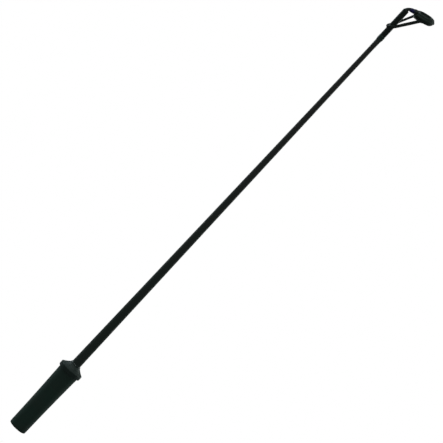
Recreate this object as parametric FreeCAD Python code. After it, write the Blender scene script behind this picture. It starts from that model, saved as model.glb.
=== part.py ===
import FreeCAD, Part

import math
import os

# Short tapered rod section with a plug-in butt and a braced line ring at its tip.
# Millimetres. +Z runs up the rod from the butt to the tip, and the origin is the centre of the
# butt's flat end. The line ring stands off to the +X side. The part is symmetric about the XZ plane.

V = FreeCAD.Vector
Y_AXIS = V(0, 1, 0)
Z_AXIS = V(0, 0, 1)

# Butt plug: a moulded sleeve that narrows towards its lower end
PLUG_TOP_Z = 81.8
PLUG_R_BOTTOM = 10.25
PLUG_R_MIDDLE = 10.7
PLUG_MIDDLE_Z = 38.0
PLUG_R_TOP = 11.9
PLUG_BORE_R = 7.3
PLUG_TOP_CHAMFER = 0.35

# Butt cap: a disc with a stem pressed into the sleeve's bore
CAP_T = 2.6
CAP_R = 10.1
CAP_EDGE_R = 1.1
CAP_STEM_TOP_Z = 10.6
CAP_STEM_CHAMFER = 0.8

# Arbors: bushings that centre the rod in the sleeve
ARBOR_COUNT = 3
ARBOR_L = 14.0
ARBOR_FIRST_Z = 12.0
ARBOR_PITCH = 24.0
ARBOR_BORE_R = 5.65
ARBOR_GROOVE_R = 0.5

# Rod: solid fibreglass, parallel inside the plug, then tapered in stages; (radius, height) pairs
ROD_PARALLEL_R = 5.3
ROD_TIP_Z = 594.8
ROD_STATIONS = [
    (ROD_PARALLEL_R, 11.0),
    (ROD_PARALLEL_R, 91.0),
    (4.02, 292.0),
    (2.62, 552.0),
    (2.5, ROD_TIP_Z),
]

# Stop collar: a conical flange that laps over the plug's upper end
COLLAR_UNDER_Z = 81.3
COLLAR_SEAT_R = 12.0
COLLAR_BORE_R = 5.5
COLLAR_SPIGOT_Z = 76.3
COLLAR_RIM_R = 13.6
COLLAR_RIM_TOP_Z = 85.9
COLLAR_UNDER_R = 0.8
COLLAR_EDGE_R = 0.45
COLLAR_NECK_R = 6.2
COLLAR_NECK_Z = 91.6
COLLAR_TOP_Z = 92.5
COLLAR_CONE_SAG = 0.3
MENISCUS_W = 0.25
MENISCUS_H = 0.9
MENISCUS_TOP_W = 0.03
MENISCUS_HOLLOW = 0.65
MENISCUS_MIDDLE_RISE = 0.3

# Tip tube: slides over the rod's end
TUBE_R = 3.2
TUBE_BORE_R = 2.7
TUBE_BOTTOM_Z = 560.8
TUBE_TOP_Z = 599.6
TUBE_EDGE = 0.2

# Thread wrap below the tube, and the coat over it
WRAP_BOTTOM_Z = 549.2
WRAP_TOP_Z = 560.7
WRAP_T = 0.11
COAT_BOTTOM_Z = 547.6
COAT_START_R = 2.8
COAT_START_Z = 549.6
COAT_LOW_R = 2.83
COAT_LOW_Z = 556.0
COAT_RIDGE_R = 3.38
COAT_RIDGE_Z = 560.4
COAT_SHOULDER_R = 3.36
COAT_SHOULDER_Z = 563.2
COAT_TOP_Z = 564.4
COAT_LIP = 0.02

# Line ring: concentric bands about an axis that leans back towards the rod
RING_CENTRE = V(20.5, 0, 605.45)
RING_TILT_DEG = 12.5
FRAME_OUTER_R = 12.0
FRAME_INNER_R = 10.8
FRAME_EDGE_HALF_H = 1.1
FRAME_EDGE_ROUND = 0.25
FRAME_HALF_H = 2.5
CUSHION_INNER_R = 9.5
CUSHION_INNER_HALF_H = 3.4
CUSHION_MIDDLE_HALF_H = 3.35
CUSHION_OUTER_HALF_H = 2.65
INSERT_INNER_R = 7.1
INSERT_CREST_R = 8.4
INSERT_SHOULDER_HALF_H = 2.9
INSERT_CROWN_HALF_H = 3.85
INSERT_HALF_H = 4.0

# Brace: one bent strip of oval section that slants round the back of the tube, flat against it,
# with both ends on the ring's frame
BRACE_HALF_T = 0.85
BRACE_HALF_W = 1.4
BRACE_GAP = 0.08
BRACE_REACH = TUBE_R + BRACE_GAP + BRACE_HALF_T
BRACE_BACK_Z = 574.9
BRACE_SIDE_X = 1.1
BRACE_SIDE_Z = 579.0
BRACE_SLOPE = (BRACE_SIDE_Z - BRACE_BACK_Z) / (BRACE_REACH + BRACE_SIDE_X)
BRACE_WRAP_STEPS = 10
BRACE_BEND_STEPS = 4
BRACE_BEND_REACH = 1.0
BRACE_SPREAD_DEG = 70.5
BRACE_RING_R = 11.9
BRACE_RING_DEPTH = 0.6

# Hoop: a round wire under the ring, round its rod side from one leg of the strip to the other
HOOP_R = 10.6
HOOP_WIRE_R = 0.85
HOOP_DEPTH = 3.5
HOOP_SPREAD_DEG = 78.0

# Link: a stout bar that bends over from the tube's mouth to the ring's frame. Each section is an
# ellipse: (x, z) of its centre, the direction that the bar runs in, half thickness, half width
LINK_SECTIONS = [
    ((0.0, 596.0), 90.0, 1.45, 1.55),
    ((0.0, 599.8), 90.0, 1.45, 1.55),
    ((0.5, 601.5), 58.0, 1.5, 1.6),
    ((2.2, 602.85), 30.0, 1.65, 1.8),
    ((5.0, 603.8), 16.0, 2.0, 2.3),
    ((9.8, 604.8), 12.0, 2.1, 2.9),
]

# Braze: fillets where strip, link, tube and frame meet
MOUTH_BRAZE_BOTTOM_Z = 595.2
MOUTH_BRAZE_R = 1.75
MOUTH_BRAZE_RISE = 1.9
MOUTH_BRAZE_BULGE = 0.6
BRAZE_SADDLE_H = 2.5
BRAZE_SADDLE_T = 1.0
BRAZE_SADDLE_DEG = 150.0
BRAZE_LEG_R = 2.0
BRAZE_LINK_R = 2.5
BRAZE_LINK_HEIGHT = 0.6


def at(r, z):
    """A point of a half profile in the XZ plane."""
    return V(r, 0, z)


def line(a, b):
    return Part.makeLine(a, b)


def arc(a, middle, b):
    return Part.Arc(a, middle, b).toShape()


def smooth(points):
    """One smooth edge through a few points."""
    curve = Part.BSplineCurve()
    curve.interpolate(points)
    return curve.toShape()


def turned(edges, angle=360.0):
    """Solid of revolution about +Z of a closed half profile."""
    face = Part.Face(Part.Wire(edges))
    return face.revolve(V(0, 0, 0), Z_AXIS, angle)


def turned_polygon(points):
    """Solid of revolution about +Z of a closed polygon of (r, z) pairs."""
    corners = [at(r, z) for r, z in points]
    edges = [line(a, b) for a, b in zip(corners, corners[1:] + corners[:1])]
    return turned(edges)


def ring_band(r_in, r_out, z_low, z_high):
    """Plain tube about +Z."""
    return turned_polygon([(r_in, z_low), (r_out, z_low), (r_out, z_high), (r_in, z_high)])


def corner_arc(centre_r, centre_z, radius, from_deg, to_deg):
    """Arc of a half profile about a given centre."""
    ends = []
    for deg in (from_deg, 0.5 * (from_deg + to_deg), to_deg):
        a = math.radians(deg)
        ends.append(at(centre_r + radius * math.cos(a), centre_z + radius * math.sin(a)))
    return arc(*ends)


def oval(centre, heading, thin, half_t, half_w):
    """Ellipse wire square to a heading, with its short axis near a given direction."""
    heading = V(heading).normalize()
    wide = heading.cross(thin).normalize()
    thin = wide.cross(heading)
    curve = Part.Ellipse(centre + wide * half_w, centre + thin * half_t, centre)
    return Part.Wire([curve.toShape()])


def to_ring_frame(shape):
    """Move a shape from the ring's own axes, hole along +Z, to its place beside the tip."""
    turn = FreeCAD.Rotation(Y_AXIS, -RING_TILT_DEG)
    shape.Placement = FreeCAD.Placement(RING_CENTRE, turn)
    return shape


def ring_point(radius, degrees_from_rod, height):
    """A point given in the ring's own axes; 0 degrees is the side that faces the rod."""
    a = math.radians(degrees_from_rod)
    local = V(-radius * math.cos(a), radius * math.sin(a), height)
    turn = FreeCAD.Rotation(Y_AXIS, -RING_TILT_DEG)
    return RING_CENTRE + turn.multVec(local)


def rod_radius(z):
    """The rod's radius at a height, from its taper stations."""
    for (r_low, z_low), (r_high, z_high) in zip(ROD_STATIONS, ROD_STATIONS[1:]):
        if z <= z_high:
            return r_low + (r_high - r_low) * (z - z_low) / (z_high - z_low)
    return ROD_STATIONS[-1][0]


def make_rod_blank():
    bottom_z = ROD_STATIONS[0][1]
    top_z = ROD_STATIONS[-1][1]
    return turned_polygon([(0, bottom_z)] + ROD_STATIONS + [(0, top_z)])


def make_plug_sleeve():
    shoulder = PLUG_R_TOP - PLUG_TOP_CHAMFER
    side = [
        at(PLUG_R_BOTTOM, CAP_T),
        at(PLUG_R_MIDDLE, PLUG_MIDDLE_Z),
        at(PLUG_R_TOP, PLUG_TOP_Z - PLUG_TOP_CHAMFER),
    ]
    return turned([
        line(at(PLUG_BORE_R, CAP_T), at(PLUG_R_BOTTOM, CAP_T)),
        smooth(side),
        line(at(PLUG_R_TOP, PLUG_TOP_Z - PLUG_TOP_CHAMFER), at(shoulder, PLUG_TOP_Z)),
        line(at(shoulder, PLUG_TOP_Z), at(PLUG_BORE_R, PLUG_TOP_Z)),
        line(at(PLUG_BORE_R, PLUG_TOP_Z), at(PLUG_BORE_R, CAP_T)),
    ])


def make_butt_cap():
    flat_r = CAP_R - CAP_EDGE_R
    stem_shoulder = CAP_STEM_TOP_Z - CAP_STEM_CHAMFER
    return turned([
        line(at(0, 0), at(flat_r, 0)),
        corner_arc(flat_r, CAP_EDGE_R, CAP_EDGE_R, -90, 0),
        line(at(CAP_R, CAP_EDGE_R), at(CAP_R, CAP_T)),
        line(at(CAP_R, CAP_T), at(PLUG_BORE_R, CAP_T)),
        line(at(PLUG_BORE_R, CAP_T), at(PLUG_BORE_R, stem_shoulder)),
        line(at(PLUG_BORE_R, stem_shoulder), at(PLUG_BORE_R - CAP_STEM_CHAMFER, CAP_STEM_TOP_Z)),
        line(at(PLUG_BORE_R - CAP_STEM_CHAMFER, CAP_STEM_TOP_Z), at(0, CAP_STEM_TOP_Z)),
        line(at(0, CAP_STEM_TOP_Z), at(0, 0)),
    ])


def make_arbor(index):
    """A bushing with a shallow glue groove round its middle."""
    low = ARBOR_FIRST_Z + index * ARBOR_PITCH
    high = low + ARBOR_L
    middle = 0.5 * (low + high)
    bushing = ring_band(ARBOR_BORE_R, PLUG_BORE_R, low, high)
    groove = Part.makeTorus(PLUG_BORE_R, ARBOR_GROOVE_R, V(0, 0, middle), Z_AXIS)
    return bushing.cut(groove)


def make_plug_adhesive():
    """Epoxy between the rod and the arbors."""
    last_arbor_top = ARBOR_FIRST_Z + (ARBOR_COUNT - 1) * ARBOR_PITCH + ARBOR_L
    return ring_band(ROD_PARALLEL_R, ARBOR_BORE_R, ARBOR_FIRST_Z, last_arbor_top)


def make_stop_collar():
    """Flange with a recess that laps over the sleeve's end, and a cone that runs up to the rod."""
    under_r = COLLAR_RIM_R - COLLAR_UNDER_R
    edge_r = COLLAR_RIM_R - COLLAR_EDGE_R
    edge_z = COLLAR_RIM_TOP_Z - COLLAR_EDGE_R
    cone_low = at(edge_r, COLLAR_RIM_TOP_Z)
    cone_high = at(COLLAR_NECK_R, COLLAR_NECK_Z)
    along = (cone_high - cone_low).normalize()
    inward = V(-along.z, 0, along.x)
    cone_middle = (cone_low + cone_high) * 0.5 + inward * COLLAR_CONE_SAG
    return turned([
        line(at(COLLAR_BORE_R, COLLAR_SPIGOT_Z), at(PLUG_BORE_R, COLLAR_SPIGOT_Z)),
        line(at(PLUG_BORE_R, COLLAR_SPIGOT_Z), at(PLUG_BORE_R, PLUG_TOP_Z)),
        line(at(PLUG_BORE_R, PLUG_TOP_Z), at(COLLAR_SEAT_R, PLUG_TOP_Z)),
        line(at(COLLAR_SEAT_R, PLUG_TOP_Z), at(COLLAR_SEAT_R, COLLAR_UNDER_Z)),
        line(at(COLLAR_SEAT_R, COLLAR_UNDER_Z), at(under_r, COLLAR_UNDER_Z)),
        corner_arc(under_r, COLLAR_UNDER_Z + COLLAR_UNDER_R, COLLAR_UNDER_R, -90, 0),
        line(at(COLLAR_RIM_R, COLLAR_UNDER_Z + COLLAR_UNDER_R), at(COLLAR_RIM_R, edge_z)),
        corner_arc(edge_r, edge_z, COLLAR_EDGE_R, 0, 90),
        arc(cone_low, cone_middle, cone_high),
        line(cone_high, at(COLLAR_NECK_R, COLLAR_TOP_Z - COLLAR_EDGE_R)),
        corner_arc(COLLAR_NECK_R - COLLAR_EDGE_R, COLLAR_TOP_Z - COLLAR_EDGE_R, COLLAR_EDGE_R, 0, 90),
        line(at(COLLAR_NECK_R - COLLAR_EDGE_R, COLLAR_TOP_Z), at(COLLAR_BORE_R, COLLAR_TOP_Z)),
        line(at(COLLAR_BORE_R, COLLAR_TOP_Z), at(COLLAR_BORE_R, COLLAR_SPIGOT_Z)),
    ])


def make_collar_adhesive(rod):
    """Epoxy between the rod and the collar, with a meniscus that climbs the rod above it."""
    foot = at(COLLAR_BORE_R + MENISCUS_W, COLLAR_TOP_Z)
    crown_z = COLLAR_TOP_Z + MENISCUS_H
    crown = at(rod_radius(crown_z) + MENISCUS_TOP_W, crown_z)
    middle_r = foot.x + (crown.x - foot.x) * MENISCUS_HOLLOW
    middle = at(middle_r, COLLAR_TOP_Z + MENISCUS_MIDDLE_RISE * MENISCUS_H)
    bond = turned([
        line(at(0, COLLAR_SPIGOT_Z), at(COLLAR_BORE_R, COLLAR_SPIGOT_Z)),
        line(at(COLLAR_BORE_R, COLLAR_SPIGOT_Z), at(COLLAR_BORE_R, COLLAR_TOP_Z)),
        line(at(COLLAR_BORE_R, COLLAR_TOP_Z), foot),
        arc(foot, middle, crown),
        line(crown, at(0, crown_z)),
        line(at(0, crown_z), at(0, COLLAR_SPIGOT_Z)),
    ])
    return bond.cut(rod)


def make_thread_wrap(rod):
    low = rod_radius(WRAP_BOTTOM_Z)
    high = rod_radius(WRAP_TOP_Z)
    shell = turned_polygon([
        (0, WRAP_BOTTOM_Z),
        (low + WRAP_T, WRAP_BOTTOM_Z),
        (high + WRAP_T, WRAP_TOP_Z),
        (0, WRAP_TOP_Z),
    ])
    return shell.cut(rod)


def make_wrap_coat(rod, wrap):
    """Glossy coat that tapers onto the rod below and swells to a ridge at the tube's foot."""
    start = at(rod_radius(COAT_BOTTOM_Z) + COAT_LIP, COAT_BOTTOM_Z)
    finish = at(TUBE_R + COAT_LIP, COAT_TOP_Z)
    knots = [
        start,
        at(COAT_START_R, COAT_START_Z),
        at(COAT_LOW_R, COAT_LOW_Z),
        at(COAT_RIDGE_R, COAT_RIDGE_Z),
        at(COAT_SHOULDER_R, COAT_SHOULDER_Z),
        finish,
    ]
    body = turned([
        line(at(0, COAT_BOTTOM_Z), start),
        smooth(knots),
        line(finish, at(0, COAT_TOP_Z)),
        line(at(0, COAT_TOP_Z), at(0, COAT_BOTTOM_Z)),
    ])
    filled_tube = Part.makeCylinder(TUBE_R, TUBE_TOP_Z - TUBE_BOTTOM_Z, V(0, 0, TUBE_BOTTOM_Z))
    return body.cut(rod).cut(wrap).cut(filled_tube)


def make_tip_tube():
    return turned_polygon([
        (TUBE_BORE_R, TUBE_BOTTOM_Z),
        (TUBE_R - TUBE_EDGE, TUBE_BOTTOM_Z),
        (TUBE_R, TUBE_BOTTOM_Z + TUBE_EDGE),
        (TUBE_R, TUBE_TOP_Z - TUBE_EDGE),
        (TUBE_R - TUBE_EDGE, TUBE_TOP_Z),
        (TUBE_BORE_R, TUBE_TOP_Z),
    ])


def make_tip_adhesive(rod):
    """Glue between the rod's end and the tube."""
    return Part.makeCylinder(TUBE_BORE_R, ROD_TIP_Z - TUBE_BOTTOM_Z, V(0, 0, TUBE_BOTTOM_Z)).cut(rod)


def make_mouth_braze(link):
    """Filler in the tube's mouth, domed up round the link."""
    edge = TUBE_R - TUBE_EDGE
    crown_z = TUBE_TOP_Z + MOUTH_BRAZE_RISE
    middle_r = MOUTH_BRAZE_R + (edge - MOUTH_BRAZE_R) * MOUTH_BRAZE_BULGE
    middle = at(middle_r, TUBE_TOP_Z + MOUTH_BRAZE_RISE * MOUTH_BRAZE_BULGE)
    filler = turned([
        line(at(0, MOUTH_BRAZE_BOTTOM_Z), at(TUBE_BORE_R, MOUTH_BRAZE_BOTTOM_Z)),
        line(at(TUBE_BORE_R, MOUTH_BRAZE_BOTTOM_Z), at(TUBE_BORE_R, TUBE_TOP_Z)),
        line(at(TUBE_BORE_R, TUBE_TOP_Z), at(edge, TUBE_TOP_Z)),
        arc(at(edge, TUBE_TOP_Z), middle, at(MOUTH_BRAZE_R, crown_z)),
        line(at(MOUTH_BRAZE_R, crown_z), at(0, crown_z)),
        line(at(0, crown_z), at(0, MOUTH_BRAZE_BOTTOM_Z)),
    ])
    return largest(filler.cut(link))


def link_section(centre, heading_deg, half_t, half_w):
    """Ellipse across the link, square to the direction that the bar runs in."""
    ellipse = Part.Ellipse(V(0, 0, 0), half_w, half_t).toShape()
    wire = Part.Wire([ellipse])
    across = FreeCAD.Rotation(Z_AXIS, 90)
    lean = FreeCAD.Rotation(Y_AXIS, 90 - heading_deg)
    wire.Placement = FreeCAD.Placement(V(centre[0], 0, centre[1]), lean.multiply(across))
    return wire


def make_front_link(ring_parts):
    """Bar that rises out of the tube, bends over and widens onto the ring's frame."""
    sections = [link_section(*values) for values in LINK_SECTIONS]
    return largest(Part.makeLoft(sections, True, False).cut(ring_parts))


def largest(shape):
    """The biggest solid of a cut shape."""
    return max(shape.Solids, key=lambda solid: solid.Volume)


def make_half_brace():
    """Near half of the strip: from the back of the tube round its side, then off to the ring."""
    size = (BRACE_HALF_T, BRACE_HALF_W)
    sections = []
    for step in range(BRACE_WRAP_STEPS + 1):
        a = math.radians(90.0 * step / BRACE_WRAP_STEPS)
        around = V(-math.cos(a), -math.sin(a), 0)
        rise = BRACE_SLOPE * BRACE_REACH * (1 - math.cos(a))
        centre = around * BRACE_REACH + V(0, 0, BRACE_BACK_Z + rise)
        heading = V(math.sin(a), -math.cos(a), BRACE_SLOPE * math.sin(a))
        sections.append(oval(centre, heading, around, *size))

    corner = V(BRACE_SIDE_X, -BRACE_REACH, BRACE_SIDE_Z)
    end = ring_point(BRACE_RING_R, -BRACE_SPREAD_DEG, -BRACE_RING_DEPTH)
    run_heading = V(1, 0, BRACE_SLOPE).normalize()
    leg_heading = (end - corner).normalize()
    leg_thin = leg_heading.cross(Z_AXIS).normalize()
    for step in range(BRACE_BEND_STEPS + 1):
        share = step / BRACE_BEND_STEPS
        before = corner - run_heading * (BRACE_BEND_REACH * (1 - share) ** 2)
        centre = before + leg_heading * (BRACE_BEND_REACH * share ** 2)
        heading = run_heading * (1 - share) + leg_heading * share
        thin = leg_thin * share - Y_AXIS * (1 - share)
        sections.append(oval(centre, heading, thin, *size))
    sections.append(oval(end, leg_heading, leg_thin, *size))
    return Part.makeLoft(sections, True, True)


def make_brace_strip(ring_parts):
    near = make_half_brace()
    far = near.mirror(V(0, 0, 0), Y_AXIS)
    return largest(near.fuse(far).removeSplitter().cut(ring_parts))


def make_ring_hoop(ring_parts, brace):
    a = math.radians(HOOP_SPREAD_DEG)
    start = V(-HOOP_R * math.cos(a), -HOOP_R * math.sin(a), -HOOP_DEPTH)
    heading = V(-math.sin(a), math.cos(a), 0)
    disc = Part.Face(Part.Wire([Part.makeCircle(HOOP_WIRE_R, start, heading)]))
    hoop = to_ring_frame(disc.revolve(V(0, 0, 0), -Z_AXIS, 2 * HOOP_SPREAD_DEG))
    return Part.Compound(hoop.cut(ring_parts).cut(brace).Solids)


def make_ring_frame():
    """Metal band that thins towards its rounded outer edge."""
    low_outer = at(FRAME_OUTER_R - FRAME_EDGE_ROUND, -FRAME_EDGE_HALF_H)
    high_outer = at(FRAME_OUTER_R - FRAME_EDGE_ROUND, FRAME_EDGE_HALF_H)
    low_inner = at(FRAME_INNER_R, -FRAME_HALF_H)
    high_inner = at(FRAME_INNER_R, FRAME_HALF_H)
    return to_ring_frame(turned([
        line(high_inner, low_inner),
        line(low_inner, low_outer),
        arc(low_outer, at(FRAME_OUTER_R, 0), high_outer),
        line(high_outer, high_inner),
    ]))


def make_shock_ring():
    """Nylon cushion ring between the frame and the insert, domed on both faces."""
    middle_r = 0.5 * (CUSHION_INNER_R + FRAME_INNER_R)
    return to_ring_frame(turned([
        line(at(CUSHION_INNER_R, -CUSHION_INNER_HALF_H), at(CUSHION_INNER_R, CUSHION_INNER_HALF_H)),
        arc(
            at(CUSHION_INNER_R, CUSHION_INNER_HALF_H),
            at(middle_r, CUSHION_MIDDLE_HALF_H),
            at(FRAME_INNER_R, CUSHION_OUTER_HALF_H),
        ),
        line(at(FRAME_INNER_R, CUSHION_OUTER_HALF_H), at(FRAME_INNER_R, -CUSHION_OUTER_HALF_H)),
        arc(
            at(FRAME_INNER_R, -CUSHION_OUTER_HALF_H),
            at(middle_r, -CUSHION_MIDDLE_HALF_H),
            at(CUSHION_INNER_R, -CUSHION_INNER_HALF_H),
        ),
    ]))


def make_ring_insert():
    """Hard polished insert, with its inner edge fully rounded for the line."""
    shoulder = INSERT_SHOULDER_HALF_H
    crown_r = 0.5 * (INSERT_CREST_R + CUSHION_INNER_R)
    return to_ring_frame(turned([
        line(at(CUSHION_INNER_R, shoulder), at(CUSHION_INNER_R, -shoulder)),
        arc(
            at(CUSHION_INNER_R, -shoulder),
            at(crown_r, -INSERT_CROWN_HALF_H),
            at(INSERT_CREST_R, -INSERT_HALF_H),
        ),
        arc(
            at(INSERT_CREST_R, -INSERT_HALF_H),
            at(INSERT_INNER_R, 0),
            at(INSERT_CREST_R, INSERT_HALF_H),
        ),
        arc(
            at(INSERT_CREST_R, INSERT_HALF_H),
            at(crown_r, INSERT_CROWN_HALF_H),
            at(CUSHION_INNER_R, shoulder),
        ),
    ]))


def make_tube_braze(brace):
    """Low fillet of braze round the back of the tube, above and below the strip."""
    low = BRACE_BACK_Z - BRAZE_SADDLE_H
    high = BRACE_BACK_Z + BRAZE_SADDLE_H
    outer = TUBE_R + BRAZE_SADDLE_T
    saddle = turned(
        [
            line(at(TUBE_R, low), at(TUBE_R, high)),
            arc(at(TUBE_R, high), at(outer, BRACE_BACK_Z), at(TUBE_R, low)),
        ],
        BRAZE_SADDLE_DEG,
    )
    saddle.rotate(V(0, 0, 0), Z_AXIS, 180 - 0.5 * BRAZE_SADDLE_DEG)
    return Part.Compound(saddle.cut(brace).Solids)


def make_ring_braze(brace, link, hoop, ring_parts):
    """Three beads, where the strip's two ends and the link meet the ring's frame."""
    beads = [
        Part.makeSphere(BRAZE_LEG_R, ring_point(BRACE_RING_R, side * BRACE_SPREAD_DEG, -FRAME_HALF_H))
        for side in (-1, 1)
    ]
    beads.append(Part.makeSphere(BRAZE_LINK_R, ring_point(FRAME_OUTER_R, 0, BRAZE_LINK_HEIGHT)))
    return Part.Compound([
        largest(bead.cut(ring_parts).cut(brace).cut(link).cut(hoop)) for bead in beads
    ])


def export(name, shape):
    shape.exportStep(os.path.join("parts", name + ".step"))


def main():
    os.makedirs("parts", exist_ok=True)

    rod = make_rod_blank()
    export("rod_blank", rod)

    export("plug_sleeve", make_plug_sleeve())
    export("butt_cap", make_butt_cap())
    for index in range(ARBOR_COUNT):
        export("plug_arbor_%d" % (index + 1), make_arbor(index))
    export("plug_adhesive", make_plug_adhesive())
    export("stop_collar", make_stop_collar())
    export("collar_adhesive", make_collar_adhesive(rod))

    wrap = make_thread_wrap(rod)
    export("tip_tube", make_tip_tube())
    export("tip_adhesive", make_tip_adhesive(rod))
    export("thread_wrap", wrap)
    export("wrap_coat", make_wrap_coat(rod, wrap))

    frame = make_ring_frame()
    cushion = make_shock_ring()
    insert = make_ring_insert()
    export("ring_frame", frame)
    export("shock_ring", cushion)
    export("ring_insert", insert)

    ring_parts = frame.fuse([cushion, insert])
    link = make_front_link(ring_parts)
    brace = make_brace_strip(ring_parts)
    hoop = make_ring_hoop(ring_parts, brace)
    export("front_link", link)
    export("brace_strip", brace)
    export("ring_hoop", hoop)
    export("mouth_braze", make_mouth_braze(link))
    export("tube_braze", make_tube_braze(brace))
    export("ring_braze", make_ring_braze(brace, link, hoop, ring_parts))


main()
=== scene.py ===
import math

import bmesh
import bpy
from mathutils import Matrix, Vector, noise


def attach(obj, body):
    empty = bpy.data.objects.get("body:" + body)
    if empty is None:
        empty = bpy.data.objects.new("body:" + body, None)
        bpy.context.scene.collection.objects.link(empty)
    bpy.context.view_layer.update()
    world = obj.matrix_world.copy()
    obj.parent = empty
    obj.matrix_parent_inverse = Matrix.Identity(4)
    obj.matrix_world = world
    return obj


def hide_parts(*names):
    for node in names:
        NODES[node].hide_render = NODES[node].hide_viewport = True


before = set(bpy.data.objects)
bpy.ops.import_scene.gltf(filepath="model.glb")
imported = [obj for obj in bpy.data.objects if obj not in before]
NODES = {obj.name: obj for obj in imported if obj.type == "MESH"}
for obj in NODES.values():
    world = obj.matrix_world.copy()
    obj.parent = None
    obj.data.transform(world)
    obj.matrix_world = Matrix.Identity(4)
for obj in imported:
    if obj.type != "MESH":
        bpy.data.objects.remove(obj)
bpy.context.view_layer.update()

MM = 0.001

# ---------------------------------------------------------------------------
# Camera: a long lens, looking a little down the rod from its tip end, rolled so
# that the rod runs from the lower left to the upper right of the frame
# ---------------------------------------------------------------------------
ELEVATION_DEG = 9.0
RING_AWAY_DEG = 22.0
ROLL_DEG = 46.95
DISTANCE = 3.96
LENS_MM = 310.0
AIM_HEIGHT = 0.30535
AIM_RIGHT = 0.0087
AIM_DOWN = 0.0042


def camera_axes():
    """Unit vectors of the picture: right, up, and back towards the camera."""
    e = math.radians(ELEVATION_DEG)
    a = math.radians(RING_AWAY_DEG)
    roll = math.radians(ROLL_DEG)
    side = Vector((math.cos(a), -math.sin(a), 0))
    front = Vector((-math.sin(a), -math.cos(a), 0))
    along = -math.sin(e) * front + math.cos(e) * Vector((0, 0, 1))
    back = math.cos(e) * front + math.sin(e) * Vector((0, 0, 1))
    right = math.cos(roll) * along + math.sin(roll) * side
    up = math.sin(roll) * along - math.cos(roll) * side
    return right, up, back


RIGHT, UP, BACK = camera_axes()
AIM = Vector((0, 0, AIM_HEIGHT)) + AIM_RIGHT * RIGHT - AIM_DOWN * UP


def make_camera():
    data = bpy.data.cameras.new("camera")
    data.lens = LENS_MM
    data.clip_start = 0.1
    data.clip_end = 60.0
    camera = bpy.data.objects.new("camera", data)
    turn = Matrix((RIGHT, UP, BACK)).transposed().to_4x4()
    camera.matrix_world = Matrix.Translation(AIM + DISTANCE * BACK) @ turn
    bpy.context.scene.collection.objects.link(camera)
    bpy.context.scene.camera = camera


# ---------------------------------------------------------------------------
# Materials
# ---------------------------------------------------------------------------
class Nodes:
    """A small helper that builds a node tree."""

    def __init__(self, name):
        self.material = bpy.data.materials.new(name)
        self.material.use_nodes = True
        self.tree = self.material.node_tree
        self.tree.nodes.clear()
        self.output = self.add("ShaderNodeOutputMaterial")
        self.shader = self.add("ShaderNodeBsdfPrincipled")
        self.link(self.shader.outputs["BSDF"], self.output.inputs["Surface"])
        self.coords = self.add("ShaderNodeTexCoord").outputs["Object"]

    def add(self, kind, **settings):
        node = self.tree.nodes.new(kind)
        for key, value in settings.items():
            setattr(node, key, value)
        return node

    def link(self, source, target):
        self.tree.links.new(source, target)

    def noise(self, scale, detail=2.0, roughness=0.5, stretch=None):
        """Noise in object space; stretch scales the three axes first."""
        node = self.add("ShaderNodeTexNoise")
        node.inputs["Scale"].default_value = scale
        node.inputs["Detail"].default_value = detail
        node.inputs["Roughness"].default_value = roughness
        if stretch is None:
            self.link(self.coords, node.inputs["Vector"])
        else:
            mapping = self.add("ShaderNodeMapping")
            mapping.inputs["Scale"].default_value = stretch
            self.link(self.coords, mapping.inputs["Vector"])
            self.link(mapping.outputs["Vector"], node.inputs["Vector"])
        return node.outputs["Fac"]

    def ramp(self, source, low, high, low_value, high_value):
        """Map a value's range to another, clamped."""
        node = self.add("ShaderNodeMapRange")
        node.inputs["From Min"].default_value = low
        node.inputs["From Max"].default_value = high
        node.inputs["To Min"].default_value = low_value
        node.inputs["To Max"].default_value = high_value
        self.link(source, node.inputs["Value"])
        return node.outputs["Result"]

    def axis(self, name):
        """One of the shaded point's own object-space coordinates, in metres."""
        split = self.add("ShaderNodeSeparateXYZ")
        self.link(self.coords, split.inputs["Vector"])
        return split.outputs[name]

    def patches(self, scale):
        """Soft-edged patches, 0 to 1, for mixing two tones."""
        return self.ramp(self.noise(scale, 3.0), 0.35, 0.65, 0.0, 1.0)

    def times(self, first, second):
        node = self.add("ShaderNodeMath", operation="MULTIPLY")
        self.link(first, node.inputs[0])
        self.link(second, node.inputs[1])
        return node.outputs["Value"]

    def mix(self, factor, first, second):
        """Mix two colours by a factor socket."""
        node = self.add("ShaderNodeMix", data_type="RGBA")
        self.link(factor, node.inputs["Factor"])
        for value, socket in ((first, node.inputs["A"]), (second, node.inputs["B"])):
            if hasattr(value, "links"):
                self.link(value, socket)
            else:
                socket.default_value = (*value, 1.0)
        return node.outputs["Result"]

    def bump(self, height, strength, distance, below=None):
        node = self.add("ShaderNodeBump")
        node.inputs["Strength"].default_value = strength
        node.inputs["Distance"].default_value = distance
        self.link(height, node.inputs["Height"])
        if below is not None:
            self.link(below, node.inputs["Normal"])
        return node.outputs["Normal"]

    def roughen(self, scale, detail, low, high):
        """Roughness that varies between two values in patches."""
        self.drive("Roughness", self.ramp(self.noise(scale, detail), 0.3, 0.7, low, high))

    def set(self, **values):
        """Set the shader's own sockets, by name with spaces as underscores."""
        for key, value in values.items():
            self.shader.inputs[key.replace("_", " ")].default_value = value

    def drive(self, name, source):
        self.link(source, self.shader.inputs[name])


def blank_material():
    """Painted fibreglass: near black, a neutral grey towards the tip, with faint tape marks."""
    m = Nodes("blank_paint")
    tone = m.mix(m.patches(60.0), (0.032, 0.053, 0.044), (0.040, 0.055, 0.047))
    near_tip = m.ramp(m.axis("Z"), 0.15, 0.50, 0.0, 1.0)
    m.drive("Base Color", m.mix(near_tip, tone, (0.072, 0.072, 0.070)))
    m.roughen(180.0, 3.0, 0.40, 0.50)
    tape = m.noise(500.0, 1.0, 0.4, (0.05, 0.05, 1.0))
    fine = m.bump(m.noise(1500.0, 2.0), 0.12, 0.00008)
    m.drive("Normal", m.bump(tape, 0.2, 0.00008, fine))
    m.set(IOR=1.45)
    return m.material


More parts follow.
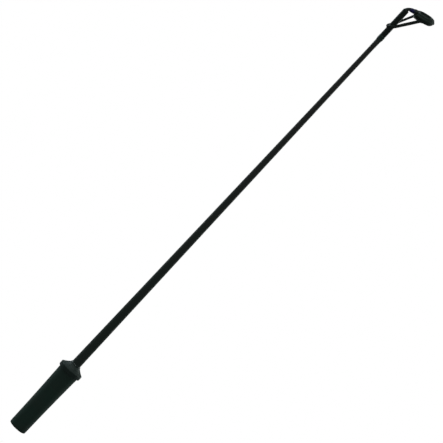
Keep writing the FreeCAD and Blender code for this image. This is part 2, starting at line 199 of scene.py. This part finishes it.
def plastic_material(name, dark, light, rough, stipple=0.25, shine=0.5):
    """Moulded plastic: two near-black tones, a fine stipple, and scuffs towards the butt."""
    m = Nodes(name)
    tone = m.mix(m.ramp(m.noise(55.0, 3.0), 0.38, 0.62, 0.0, 1.0), dark, light)
    near_butt = m.ramp(m.axis("Z"), 0.0, 0.02, 1.0, 0.0)
    scratch = m.ramp(m.noise(260.0, 5.0, 0.6, (1.0, 1.0, 0.12)), 0.60, 0.72, 0.0, 1.0)
    worn = tuple(0.03 + 1.4 * c for c in light)
    m.drive("Base Color", m.mix(m.times(near_butt, scratch), tone, worn))
    m.roughen(250.0, 4.0, rough - 0.05, rough + 0.07)
    m.drive("Normal", m.bump(m.noise(1400.0, 3.0, 0.6), stipple, 0.0001))
    m.set(IOR=1.5, Specular_IOR_Level=shine)
    return m.material


def gloss_material():
    """Glossy coat: near the rod's grey over the thread, and green-black on the ridge above it."""
    m = Nodes("wrap_gloss")
    blotch = m.patches(220.0)
    below = m.mix(blotch, (0.060, 0.063, 0.060), (0.074, 0.075, 0.072))
    above = m.mix(blotch, (0.024, 0.058, 0.046), (0.034, 0.066, 0.054))
    m.drive("Base Color", m.mix(m.ramp(m.axis("Z"), 0.555, 0.5615, 0.0, 1.0), below, above))
    m.roughen(160.0, 2.0, 0.16, 0.30)
    m.set(IOR=1.5, Coat_Weight=0.5, Coat_Roughness=0.12)
    return m.material


COATING_TONES = ((0.014, 0.026, 0.020), (0.022, 0.031, 0.026))
RING_TONES = ((0.024, 0.042, 0.034), (0.032, 0.046, 0.039))
# Tones for the hoop, much lighter than the black coating it shares with the strip: painted light for its
# lit underside.
HOOP_PAINTED_LIGHT_TONES = ((0.09, 0.11, 0.11), (0.11, 0.13, 0.13))


def steel_material(name, rough, shine=0.5, tones=COATING_TONES, blued=False):
    """Black-coated metal with small runs and pits; blued adds an indigo tint low on the link."""
    m = Nodes(name)
    tone = m.mix(m.patches(300.0), *tones)
    if blued:
        x, z = m.axis("X"), m.axis("Z")
        start = m.ramp(x, 0.0010, 0.0034, 0.0, 1.0)
        end = m.ramp(x, 0.0050, 0.0082, 1.0, 0.0)
        low = m.ramp(z, 0.6038, 0.6062, 1.0, 0.12)
        clear_of_mouth = m.ramp(z, 0.6008, 0.6018, 0.0, 1.0)
        mottle = m.ramp(m.noise(380.0, 2.0), 0.35, 0.55, 0.55, 1.0)
        tinted = m.times(m.times(start, end), m.times(low, clear_of_mouth))
        tone = m.mix(m.times(tinted, mottle), tone, (0.016, 0.009, 0.165))
    m.drive("Base Color", tone)
    m.roughen(500.0, 3.0, rough - 0.06, rough + 0.08)
    pits = m.bump(m.noise(2600.0, 2.0), 0.2, 0.00005)
    m.drive("Normal", m.bump(m.noise(420.0, 2.0), 0.25, 0.00012, pits))
    m.set(IOR=1.5, Specular_IOR_Level=shine)
    return m.material


def ceramic_material():
    """Polished dark ceramic."""
    m = Nodes("dark_ceramic")
    blotch = m.ramp(m.noise(400.0, 4.0), 0.35, 0.65, 0.0, 1.0)
    m.drive("Base Color", m.mix(blotch, (0.018, 0.034, 0.028), (0.028, 0.042, 0.036)))
    m.roughen(200.0, 2.0, 0.34, 0.42)
    m.set(IOR=1.6, Specular_IOR_Level=0.25)
    return m.material


def plain_material(name, dark, light, rough):
    """Simple two-tone material for small pieces and those hidden inside."""
    m = Nodes(name)
    m.drive("Base Color", m.mix(m.patches(300.0), dark, light))
    m.roughen(600.0, 2.0, rough - 0.05, rough + 0.05)
    return m.material


def paint(names, material):
    for name in names:
        piece = NODES[name]
        piece.data.materials.clear()
        piece.data.materials.append(material)


# ---------------------------------------------------------------------------
# Mesh helpers; all take millimetres
# ---------------------------------------------------------------------------
def finish_piece(name, vertices, faces, material, slot, nodes):
    """Turn lists of points and faces into a smooth piece that stands for some CAD nodes."""
    mesh = bpy.data.meshes.new(name)
    mesh.from_pydata([Vector(v) * MM for v in vertices], [], faces)
    work = bmesh.new()
    work.from_mesh(mesh)
    bmesh.ops.recalc_face_normals(work, faces=work.faces)
    for face in work.faces:
        face.smooth = True
    work.to_mesh(mesh)
    work.free()
    mesh.materials.append(material)
    piece = bpy.data.objects.new(name, mesh)
    bpy.context.scene.collection.objects.link(piece)
    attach(piece, "root")
    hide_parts(*nodes)
    return piece


def skin(rings, closed=False):
    """Faces that join rings of points; the two ends are capped unless the rings close on themselves."""
    vertices = [point for ring in rings for point in ring]
    size = len(rings[0])
    count = len(rings)
    faces = []
    for i in range(count if closed else count - 1):
        low = i * size
        high = ((i + 1) % count) * size
        for j in range(size):
            k = (j + 1) % size
            faces.append((low + j, low + k, high + k, high + j))
    if not closed:
        faces.append(tuple(reversed(range(size))))
        faces.append(tuple(range((count - 1) * size, count * size)))
    return vertices, faces


SAME_POINT = 1e-4


def rounded(corners, steps=5):
    """Profile through (r, z, fillet radius) corners, each corner rounded; closes on itself.

    Where two fillets meet, their shared point is kept once.
    """
    points = []
    count = len(corners)
    for i in range(count):
        here = Vector(corners[i][:2])
        to_last = (Vector(corners[i - 1][:2]) - here).normalized()
        to_next = (Vector(corners[(i + 1) % count][:2]) - here).normalized()
        radius = corners[i][2]
        half = 0.5 * to_last.angle(to_next)
        if radius == 0 or half > math.radians(89):
            points.append(here)
            continue
        reach = radius / math.tan(half)
        middle = here + (to_last + to_next).normalized() * (radius / math.sin(half))
        start = here + to_last * reach - middle
        end = here + to_next * reach - middle
        sweep = start.angle_signed(end)
        for step in range(steps + 1):
            a = -sweep * step / steps
            turned = Vector((
                start.x * math.cos(a) - start.y * math.sin(a),
                start.x * math.sin(a) + start.y * math.cos(a),
            ))
            points.append(middle + turned)
    return [point for i, point in enumerate(points) if (point - points[i - 1]).length > SAME_POINT]


def lathe(profile, segments, shape=None, closed=True):
    """Turn an (r, z) profile about the axis; shape(r, z, angle) may change each r and z."""
    rings = []
    for point in profile:
        ring = []
        for j in range(segments):
            a = 2 * math.pi * j / segments
            r, z = (point[0], point[1]) if shape is None else shape(point[0], point[1], a)
            ring.append((r * math.cos(a), r * math.sin(a), z))
        rings.append(ring)
    return skin(rings, closed)


def column(radius_at, low, high, rows):
    """Profile points up a turned side, evenly spaced between two heights."""
    heights = [low + (high - low) * i / rows for i in range(rows + 1)]
    return [Vector((radius_at(z), z)) for z in heights]


def bow(start, middle, end, steps):
    """Points of a curve that starts, passes through its middle and ends at the given points."""
    start, middle, end = Vector(start), Vector(middle), Vector(end)
    pull = middle * 2 - (start + end) * 0.5
    points = []
    for step in range(steps + 1):
        t = step / steps
        points.append(start * (1 - t) ** 2 + pull * (2 * t * (1 - t)) + end * t * t)
    return points


def blend(points, share):
    """Catmull-Rom value at a share of the way, 0 to 1, through evenly spaced vectors."""
    place = share * (len(points) - 1)
    i = min(int(place), len(points) - 2)
    t = place - i
    p1 = points[i]
    p2 = points[i + 1]
    p0 = points[i - 1] if i > 0 else p1 * 2 - p2
    p3 = points[i + 2] if i + 2 < len(points) else p2 * 2 - p1
    return 0.5 * (2 * p1 + (p2 - p0) * t + (2 * p0 - 5 * p1 + 4 * p2 - p3) * t * t
                  + (3 * p1 - p0 - 3 * p2 + p3) * t ** 3)


def section(centre, heading, thin, half_t, half_w, squareness=2.0, count=28):
    """Ring of points square to a heading: an ellipse, or a squarer oval for a higher power."""
    heading = heading.normalized()
    wide = heading.cross(thin).normalized()
    thin = wide.cross(heading)
    ring = []
    for j in range(count):
        a = 2 * math.pi * j / count
        c = math.copysign(abs(math.cos(a)) ** (2 / squareness), math.cos(a))
        s = math.copysign(abs(math.sin(a)) ** (2 / squareness), math.sin(a))
        ring.append(centre + wide * (half_w * c) + thin * (half_t * s))
    return ring


def wave(a, z, seed):
    """A slow, uneven wave over a turned surface, between about -1 and 1."""
    point = Vector((math.cos(a) * 1.4, math.sin(a) * 1.4, z * 0.11 + seed * 7.3))
    return noise.noise(point) * 1.6


# ---------------------------------------------------------------------------
# Plug, cap and collar
# ---------------------------------------------------------------------------
PLUG_BORE_R = 7.3
CAP_TOP_Z = 2.6
PLUG_SIDE = [(10.25, 2.6), (10.7, 38.0), (11.9, 81.45)]
PLUG_TOP = (11.55, 81.8)
PLUG_SKIN_INSET = 0.06
SEAM_H = 0.05
SEAM_HALF_DEG = 1.1
WAVE_H = 0.012


def plug_side_r(z):
    """Outer radius of the plug: the parabola through its three stations."""
    total = 0.0
    for i, (r, zi) in enumerate(PLUG_SIDE):
        weight = 1.0
        for j, (_, zj) in enumerate(PLUG_SIDE):
            if j != i:
                weight *= (z - zj) / (zi - zj)
        total += r * weight
    return total


def seam(a):
    """Height of the parting line, a fine ridge down two opposite sides."""
    off = abs((math.degrees(a) + 90) % 180 - 90)
    return SEAM_H * max(0.0, 1 - (off / SEAM_HALF_DEG) ** 2)


def make_plug(material):
    foot = plug_side_r(CAP_TOP_Z)
    profile = [
        Vector((PLUG_BORE_R, CAP_TOP_Z)),
        Vector((foot - 0.12, CAP_TOP_Z)),
        Vector((foot - 0.04, CAP_TOP_Z + 0.04)),
    ]
    profile += column(lambda z: plug_side_r(z) - PLUG_SKIN_INSET, CAP_TOP_Z + 0.14, PLUG_SIDE[2][1], 130)
    profile.append(Vector(PLUG_TOP))
    profile.append(Vector((PLUG_BORE_R, PLUG_TOP[1])))

    def shape(r, z, a):
        if r < PLUG_BORE_R + 1 or z < CAP_TOP_Z + 0.1:
            return r, z
        return r + seam(a) + WAVE_H * wave(a, z, 1), z

    vertices, faces = lathe(profile, 360, shape)
    finish_piece("plug_grip", vertices, faces, material, "moulded_plug", ["plug_sleeve"])


def make_cap(material):
    """Disc with a shallow centre mark and groove in its face, and a stem up into the sleeve."""
    face = [
        (0.4, 0.22, 0), (1.0, 0.22, 0.1), (1.25, 0.0, 0.1),
        (6.6, 0.0, 0.05), (6.7, 0.16, 0.05), (7.0, 0.16, 0.05), (7.1, 0.0, 0.05),
    ]
    rim = [(10.1, 0.0, 1.0), (10.1, CAP_TOP_Z, 0.12)]
    stem = [(PLUG_BORE_R, CAP_TOP_Z, 0), (PLUG_BORE_R, 9.8, 0), (6.5, 10.6, 0), (0.4, 10.6, 0)]
    profile = rounded(face + rim + stem)
    vertices, faces = lathe(profile, 120, closed=False)
    finish_piece("butt_disc", vertices, faces, material, "butt_cap", ["butt_cap"])


COLLAR_BORE_R = 5.5
FLANGE_R = 13.58
CONE_HOLLOW = 0.3


def make_collar(material):
    """Stop flange with a slightly hollow conical top, and a spigot down into the sleeve."""
    cone_low = Vector((13.5, 85.9))
    cone_high = Vector((6.2, 91.6))
    inwards = (cone_high - cone_low).orthogonal().normalized()
    if inwards.x > 0:
        inwards = -inwards
    cone = []
    for i in range(1, 12):
        t = i / 12
        point = cone_low.lerp(cone_high, t) + inwards * (4 * CONE_HOLLOW * t * (1 - t))
        cone.append((point.x, point.y, 0))
    spigot = [(COLLAR_BORE_R, 76.3, 0), (PLUG_BORE_R, 76.3, 0), (PLUG_BORE_R, 81.8, 0), (12.0, 81.8, 0)]
    flange = [(12.0, 81.3, 0.08), (FLANGE_R, 81.3, 0.8), (FLANGE_R, 85.95, 0.5)]
    lip = [(6.2, 91.7, 0.35), (6.18, 92.5, 0.3), (COLLAR_BORE_R, 92.5, 0)]
    profile = rounded(spigot + flange + cone + lip, steps=7)

    def shape(r, z, a):
        if r < 6 or z < 81.5:
            return r, z
        return r + WAVE_H * wave(a, z * 2, 2), z

    vertices, faces = lathe(profile, 180, shape)
    finish_piece("stop_flange", vertices, faces, material, "moulded_collar", ["stop_collar"])


# ---------------------------------------------------------------------------
# Thread wrap and its coat
# ---------------------------------------------------------------------------
ROD_STATIONS = [(4.02, 292.0), (2.62, 552.0), (2.5, 594.8)]
THREAD_PITCH = 0.23
THREAD_CORE = 0.04
THREAD_BULGE = 0.06
WRAP_Z = (549.2, 560.7)
COAT_KNOTS = [
    (2.665, 547.6), (2.8, 549.6), (2.83, 556.0), (3.38, 560.4), (3.38, 562.8), (3.27, 563.8), (3.23, 564.4),
]
COAT_INSIDE_R = 2.45
COAT_RIPPLE = 0.014
COAT_WAVE = 0.03
COAT_EDGE = 0.8


def rod_r(z):
    for (r0, z0), (r1, z1) in zip(ROD_STATIONS, ROD_STATIONS[1:]):
        if z <= z1:
            return r0 + (r1 - r0) * (z - z0) / (z1 - z0)
    return ROD_STATIONS[-1][0]


def coat_r(z):
    """Radius of the coat: straight lines between its knots, eased at each knot."""
    for (r0, z0), (r1, z1) in zip(COAT_KNOTS, COAT_KNOTS[1:]):
        if z <= z1:
            t = max(0.0, (z - z0) / (z1 - z0))
            return r0 + (r1 - r0) * (t * t * (3 - 2 * t))
    return COAT_KNOTS[-1][0]


def turn_of_thread(a, z):
    """Height of the thread's rounded turns, 0 between two turns to 1 on top of one."""
    return math.sqrt(abs(math.sin(math.pi * (z / THREAD_PITCH - a / (2 * math.pi)))))


def make_wrap(thread, gloss):
    """Turns of thread on the rod, and a coat that follows them and swells to a ridge."""
    low, high = WRAP_Z
    profile = [Vector((rod_r(low) - 0.05, low))]
    profile += column(rod_r, low, high, 400)
    profile.append(Vector((rod_r(high) - 0.05, high)))

    def wound(r, z, a):
        if r < rod_r(z) - 0.01:
            return r, z
        return r + THREAD_CORE + THREAD_BULGE * turn_of_thread(a, z), z

    vertices, faces = lathe(profile, 48, wound)
    finish_piece("wrap_turns", vertices, faces, thread, "thread", ["thread_wrap"])

    bottom, top = COAT_KNOTS[0][1], COAT_KNOTS[-1][1]
    profile = [Vector((COAT_INSIDE_R, bottom))]
    profile += column(coat_r, bottom, top, 420)
    profile.append(Vector((COAT_INSIDE_R, top)))

    def coated(r, z, a):
        if r < COAT_INSIDE_R + 0.05:
            return r, z
        over_thread = min(1.0, max(0.0, min(z - low, high - z) / 0.5))
        from_edge = min(1.0, (z - bottom) / COAT_EDGE, (top - z) / COAT_EDGE)
        ripple = COAT_RIPPLE * (turn_of_thread(a, z) - 0.8) * over_thread
        return r + ripple + COAT_WAVE * from_edge * wave(a, z * 3.2, 3), z

    vertices, faces = lathe(profile, 96, coated)
    finish_piece("wrap_finish", vertices, faces, gloss, "wrap_gloss", ["wrap_coat"])


# ---------------------------------------------------------------------------
# Tip frame: tube, link, strip and ring
# ---------------------------------------------------------------------------
TUBE_R = 3.2
RING_CENTRE = Vector((20.5, 0, 605.45))
RING_TILT = math.radians(12.5)
RING_SEGMENTS = 160
WIRE_SEAT_R = 10.6
STRIP_HALF_T = 0.9
STRIP_HALF_W = 1.55
STRIP_BACK_HALF_W = 1.05
STRIP_REACH = TUBE_R + 0.08 + 0.85
STRIP_BACK_Z = 574.9
STRIP_CORNER = Vector((1.1, -STRIP_REACH, 579.0))
STRIP_SLOPE = (STRIP_CORNER.z - STRIP_BACK_Z) / (STRIP_REACH + STRIP_CORNER.x)
STRIP_BEND_REACH = 1.3
STRIP_BACK_STEPS = 28
STRIP_BEND_STEPS = 12
STRIP_LEG_STEPS = 60


def ring_turn(point):
    """From the ring's own axes, hole along +Z, to its place beside the tip."""
    c, s = math.cos(RING_TILT), math.sin(RING_TILT)
    x, y, z = point
    return Vector((x * c - z * s, y, x * s + z * c)) + RING_CENTRE


def ring_point(radius, degrees_from_rod, height):
    """Place of a point given round the ring, 0 degrees at the rod."""
    a = math.radians(degrees_from_rod)
    return ring_turn((-radius * math.cos(a), radius * math.sin(a), height))


def make_tube(material):
    """Plain tube, its long sides cut into rows so that they can wave a little."""
    corners = rounded([
        (2.7, 560.8, 0.05), (TUBE_R, 560.8, 0.15), (TUBE_R, 599.6, 0.4), (2.7, 599.6, 0.1),
    ])
    profile = []
    for point, following in zip(corners, corners[1:] + corners[:1]):
        profile.append(point)
        if abs(point.y - following.y) > 10:
            profile += [point.lerp(following, i / 40) for i in range(1, 40)]

    def shape(r, z, a):
        if r < 2.9:
            return r, z
        return r + 0.008 * wave(a, z, 4), z

    vertices, faces = lathe(profile, 96, shape)
    finish_piece("tip_sleeve", vertices, faces, material, "coated_steel", ["tip_tube"])


# Along the link: x, z, heading in degrees, half thickness, half width
LINK_STATIONS = [
    (0.0, 597.2, 90.0, 2.75, 2.75),
    (0.0, 598.9, 90.0, 2.78, 2.78),
    (0.0, 599.8, 88.0, 2.55, 2.6),
    (0.12, 600.8, 76.0, 1.95, 2.1),
    (0.75, 601.7, 50.0, 1.7, 1.8),
    (2.3, 602.55, 28.0, 1.95, 1.95),
    (4.6, 603.3, 17.0, 2.35, 2.4),
    (6.6, 603.85, 14.0, 2.5, 2.8),
    (8.4, 604.5, 13.0, 2.75, 3.3),
    (9.9, 605.0, 12.0, 2.6, 4.0),
]


def make_link(material):
    """Stout bar that rises from the tube's mouth, is thinnest there, and spreads at the ring."""
    stations = [Vector(row) for row in LINK_STATIONS]
    rings = []
    rows = 90
    for i in range(rows + 1):
        x, z, heading, half_t, half_w = blend(stations, i / rows)
        h = math.radians(heading)
        along = Vector((math.cos(h), 0, math.sin(h)))
        thin = Vector((-math.sin(h), 0, math.cos(h)))
        lump = 1 + 0.02 * noise.noise(Vector((x * 0.6, 0, z * 0.6)))
        rings.append(section(Vector((x, 0, z)), along, thin, half_t * lump, half_w * lump, count=40))
    vertices, faces = skin(rings)
    finish_piece("link_bar", vertices, faces, material, "coated_steel", ["front_link", "mouth_braze"])


def strip_rings(side, spread_deg, leg_half_w, flare_length):
    """Rings of the strip from the back of the tube to the ring, on one side."""
    stations = []
    for step in range(STRIP_BACK_STEPS):
        a = 0.5 * math.pi * step / STRIP_BACK_STEPS
        around = Vector((-math.cos(a), -math.sin(a), 0))
        rise = STRIP_SLOPE * STRIP_REACH * (1 - math.cos(a))
        centre = around * STRIP_REACH + Vector((0, 0, STRIP_BACK_Z + rise))
        heading = Vector((math.sin(a), -math.cos(a), STRIP_SLOPE * math.sin(a)))
        half_w = STRIP_BACK_HALF_W + (STRIP_HALF_W - STRIP_BACK_HALF_W) * step / STRIP_BACK_STEPS
        stations.append((centre, heading, around, STRIP_HALF_T, half_w))

    end = ring_point(WIRE_SEAT_R, -spread_deg, -0.2)
    run = Vector((1, 0, STRIP_SLOPE)).normalized()
    leg = (end - STRIP_CORNER).normalized()
    leg_thin = leg.cross(Vector((0, 0, 1))).normalized()
    for step in range(STRIP_BEND_STEPS + 1):
        t = step / STRIP_BEND_STEPS
        centre = STRIP_CORNER + STRIP_BEND_REACH * (leg * t * t - run * (1 - t) ** 2)
        thin = Vector((0, -1, 0)).lerp(leg_thin, t)
        stations.append((centre, run.lerp(leg, t), thin, STRIP_HALF_T, STRIP_HALF_W))

    start = STRIP_CORNER + leg * STRIP_BEND_REACH
    length = (end - start).length
    for step in range(1, STRIP_LEG_STEPS + 1):
        t = step / STRIP_LEG_STEPS
        to_go = length * (1 - t)
        flare = 0.45 * math.exp(-max(0.0, to_go - flare_length) / (0.36 * flare_length))
        shut = min(1.0, to_go / 1.2 + 0.5)
        half_t = STRIP_HALF_T * (1 + 1.5 * flare) * shut
        half_w = STRIP_HALF_W + (leg_half_w - STRIP_HALF_W) * min(1.0, 3 * t)
        stations.append((start.lerp(end, t), leg, leg_thin, half_t, half_w * (1 + 0.6 * flare) * shut))

    mirror = Vector((1, side, 1))
    rings = []
    for centre, heading, thin, half_t, half_w in stations:
        ring = section(centre, heading, thin, half_t, half_w, 2.2)
        rings.append([point * mirror for point in ring])
    return rings


def make_strip(material):
    """The strip as one skin, with its two legs at slightly different angles."""
    near = strip_rings(1, 73.5, 1.7, 2.2)
    far = strip_rings(-1, 69.0, 1.4, 4.8)
    vertices, faces = skin(list(reversed(far[1:])) + near)
    finish_piece("brace_band", vertices, faces, material, "coated_steel", ["brace_strip", "ring_braze"])


HOOP_WIRE_R = 0.88
HOOP_HEIGHT = -3.5
HOOP_START_DEG = -79.0
HOOP_SWEEP_DEG = 156.0


def make_hoop(material):
    """Round wire under the ring, on its rod side, with its ends run out against the frame."""
    rings = []
    steps = 120
    for step in range(steps + 1):
        degrees = HOOP_START_DEG + HOOP_SWEEP_DEG * step / steps
        from_end = 10.0 * min(step, steps - step) / steps
        radius = HOOP_WIRE_R * math.sqrt(min(1.0, 0.06 + from_end))
        centre = ring_point(WIRE_SEAT_R, degrees, HOOP_HEIGHT + 0.5 * (HOOP_WIRE_R - radius))
        heading = ring_point(WIRE_SEAT_R, degrees + 1, 0) - ring_point(WIRE_SEAT_R, degrees - 1, 0)
        up = ring_point(WIRE_SEAT_R, degrees, 0) - ring_point(WIRE_SEAT_R, degrees, -1)
        rings.append(section(centre, heading, up, radius, radius, count=20))
    vertices, faces = skin(rings)
    finish_piece("hoop_wire", vertices, faces, material, "coated_steel", ["ring_hoop"])


SADDLE_HALF_DEG = 100.0
SADDLE_RISE = 1.72
SADDLE_HALF_H = 2.5
SADDLE_TOP_EASE = 0.012
SADDLE_SUNK_R = TUBE_R - 0.4


def make_saddle(material):
    """Braze that runs up to the strip from the tube, thickest at the back."""
    rings = []
    columns = 72
    rows = 28
    for i in range(columns + 1):
        off = -SADDLE_HALF_DEG + 2 * SADDLE_HALF_DEG * i / columns
        a = math.radians(off)
        fade = math.cos(0.5 * math.pi * off / SADDLE_HALF_DEG) ** 1.5
        z_mid = STRIP_BACK_Z + STRIP_SLOPE * STRIP_REACH * (1 - math.cos(a))
        half_h = SADDLE_HALF_H * (0.55 + 0.45 * fade)
        around = Vector((-math.cos(a), math.sin(a), 0))
        ring = []
        for j in range(rows + 1):
            u = -1 + 2 * j / rows
            hump = (1 - math.sqrt(u * u + SADDLE_TOP_EASE)) / (1 - math.sqrt(SADDLE_TOP_EASE))
            rise = SADDLE_RISE * fade * max(0.0, hump) ** 1.25
            ring.append(around * (TUBE_R - 0.06 + rise) + Vector((0, 0, z_mid + u * half_h)))
        ring.append(around * SADDLE_SUNK_R + Vector((0, 0, z_mid + half_h)))
        ring.append(around * SADDLE_SUNK_R + Vector((0, 0, z_mid - half_h)))
        rings.append(ring)
    vertices, faces = skin(rings)
    finish_piece("saddle_fillet", vertices, faces, material, "braze", ["tube_braze"])


def make_ring(steel, nylon, ceramic):
    """Frame, cushion and liner: three turned bands, one inside the other, tilted together."""
    def tilted(profile):
        vertices, faces = lathe(profile, RING_SEGMENTS)
        return [ring_turn(v) for v in vertices], faces

    frame_profile = rounded([
        (10.8, -1.8, 0.15), (11.25, -1.1, 0.5), (11.98, -0.3, 0.4),
        (11.98, 0.4, 0.4), (11.4, 1.3, 0.6), (10.8, 2.2, 0.15),
    ])
    finish_piece("guide_frame", *tilted(frame_profile), steel, "coated_steel", ["ring_frame"])

    cushion_profile = bow((9.5, 3.4), (10.15, 3.2), (10.8, 2.3), 10)
    cushion_profile += bow((10.8, -1.9), (10.2, -2.8), (9.5, -3.3), 10)
    finish_piece("ring_cushion", *tilted(cushion_profile), nylon, "nylon", ["shock_ring"])

    liner_profile = bow((9.5, -2.9), (8.98, -3.76), (8.4, -3.97), 8)
    liner_profile += bow((8.4, -3.97), (7.1, 0), (8.4, 3.97), 24)[1:]
    liner_profile += bow((8.4, 3.97), (8.98, 3.76), (9.5, 2.9), 8)[1:]
    finish_piece("ring_liner", *tilted(liner_profile), ceramic, "insert_ceramic", ["ring_insert"])


# ---------------------------------------------------------------------------
# Stage
# ---------------------------------------------------------------------------
FLOOR_HALF = 25.0
FLOOR_Z = -0.0002
FLOOR_GREY = 0.3
WORLD_AS_LIGHT = 0.085


def make_floor():
    """Plain floor, far larger than the view and a hair below the butt; white to the eye."""
    mesh = bpy.data.meshes.new("floor")
    corners = [(FLOOR_HALF * x, FLOOR_HALF * y, FLOOR_Z) for x, y in ((-1, -1), (1, -1), (1, 1), (-1, 1))]
    mesh.from_pydata(corners, [], [(0, 1, 2, 3)])
    floor = bpy.data.objects.new("floor", mesh)
    bpy.context.scene.collection.objects.link(floor)
    material = bpy.data.materials.new("floor_white")
    material.use_nodes = True
    tree = material.node_tree
    tree.nodes.clear()
    output = tree.nodes.new("ShaderNodeOutputMaterial")
    path = tree.nodes.new("ShaderNodeLightPath")
    glow = tree.nodes.new("ShaderNodeEmission")
    glow.inputs["Strength"].default_value = 1.0
    cloth = tree.nodes.new("ShaderNodeBsdfDiffuse")
    cloth.inputs["Color"].default_value = (FLOOR_GREY, FLOOR_GREY, FLOOR_GREY, 1)
    mix = tree.nodes.new("ShaderNodeMixShader")
    tree.links.new(path.outputs["Is Camera Ray"], mix.inputs["Fac"])
    tree.links.new(cloth.outputs["BSDF"], mix.inputs[1])
    tree.links.new(glow.outputs["Emission"], mix.inputs[2])
    tree.links.new(mix.outputs["Shader"], output.inputs["Surface"])
    mesh.materials.append(material)


def make_world():
    """White to the eye, dim as a light."""
    world = bpy.data.worlds.new("studio")
    world.use_nodes = True
    tree = world.node_tree
    tree.nodes.clear()
    output = tree.nodes.new("ShaderNodeOutputWorld")
    path = tree.nodes.new("ShaderNodeLightPath")
    background = tree.nodes.new("ShaderNodeBackground")
    background.inputs["Color"].default_value = (1, 1, 1, 1)
    strength = tree.nodes.new("ShaderNodeMapRange")
    strength.inputs["To Min"].default_value = WORLD_AS_LIGHT
    strength.inputs["To Max"].default_value = 1.0
    tree.links.new(path.outputs["Is Camera Ray"], strength.inputs["Value"])
    tree.links.new(strength.outputs["Result"], background.inputs["Strength"])
    tree.links.new(background.outputs["Background"], output.inputs["Surface"])
    bpy.context.scene.world = world


def make_panel(name, direction, distance, size, power, colour=(1, 1, 1)):
    """A soft panel light that faces the middle of the rod."""
    data = bpy.data.lights.new(name, "AREA")
    data.shape = "RECTANGLE"
    data.size, data.size_y = size
    data.energy = power
    data.color = colour
    light = bpy.data.objects.new(name, data)
    place = AIM + direction.normalized() * distance
    light.location = place
    light.rotation_mode = "QUATERNION"
    light.rotation_quaternion = (AIM - place).to_track_quat("-Z", "Y")
    bpy.context.scene.collection.objects.link(light)


LIGHT_TINT = (0.88, 1.0, 0.95)


def make_lights():
    along = Vector((0, 0, 1))
    side = UP - RIGHT
    make_panel("key", along * 1.0 + BACK * 0.25 + side * 0.1, 3.0, (2.4, 2.4), 16, LIGHT_TINT)
    make_panel("front", BACK + along * 0.3, 3.0, (0.12, 0.12), 1.6, LIGHT_TINT)
    make_panel("left", side * 0.7 - BACK * 0.55 + along * 0.45, 3.0, (1.4, 3.0), 26, (0.86, 1.0, 1.04))
    make_panel("right", -side * 0.7 - BACK * 0.7 + along * 0.45, 3.0, (1.1, 3.0), 24, LIGHT_TINT)


def main():
    make_camera()
    make_floor()
    make_world()
    make_lights()

    plug = plastic_material("moulded_plug", (0.018, 0.058, 0.043), (0.026, 0.056, 0.044), 0.40)
    collar = plastic_material("moulded_collar", (0.010, 0.034, 0.029), (0.018, 0.036, 0.031), 0.5, 0.15)
    nylon = plastic_material("nylon", (0.022, 0.040, 0.033), (0.030, 0.044, 0.037), 0.50, 0.25, 0.25)
    # Dark epoxy for the meniscus at the collar's top, its base made lighter than the epoxy is: a painted
    # highlight for the glint there.
    dark_epoxy_painted_glint = plain_material("dark_epoxy_painted_glint", (0.045, 0.062, 0.058), (0.055, 0.070, 0.066), 0.12)
    epoxy = plain_material("epoxy", (0.20, 0.18, 0.13), (0.30, 0.27, 0.20), 0.25)
    foam = plain_material("arbor_foam", (0.18, 0.18, 0.17), (0.24, 0.24, 0.22), 0.7)
    thread = plain_material("thread", (0.006, 0.007, 0.006), (0.012, 0.013, 0.012), 0.5)
    steel = steel_material("black_coating", 0.38, 0.4)
    ring_steel = steel_material("ring_coating", 0.5, 0.25, RING_TONES)

    paint(["rod_blank"], blank_material())
    paint(["plug_arbor_1", "plug_arbor_2", "plug_arbor_3"], foam)
    paint(["plug_adhesive", "tip_adhesive"], epoxy)
    # The meniscus is dark epoxy, with a painted highlight in its lighter base.
    paint(["collar_adhesive"], dark_epoxy_painted_glint)

    make_plug(plug)
    make_cap(plug)
    make_collar(collar)
    make_wrap(thread, gloss_material())
    make_tube(steel)
    make_link(steel_material("blued_link", 0.42, 0.3, blued=True))
    make_strip(steel)
    # The hoop's lighter tones are painted light, standing in for the light on its underside.
    make_hoop(steel_material("hoop_painted_light_coating", 0.3, tones=HOOP_PAINTED_LIGHT_TONES))
    make_saddle(steel_material("coated_braze", 0.40))
    make_ring(ring_steel, nylon, ceramic_material())

    bpy.context.scene.view_settings.view_transform = "Standard"


main()
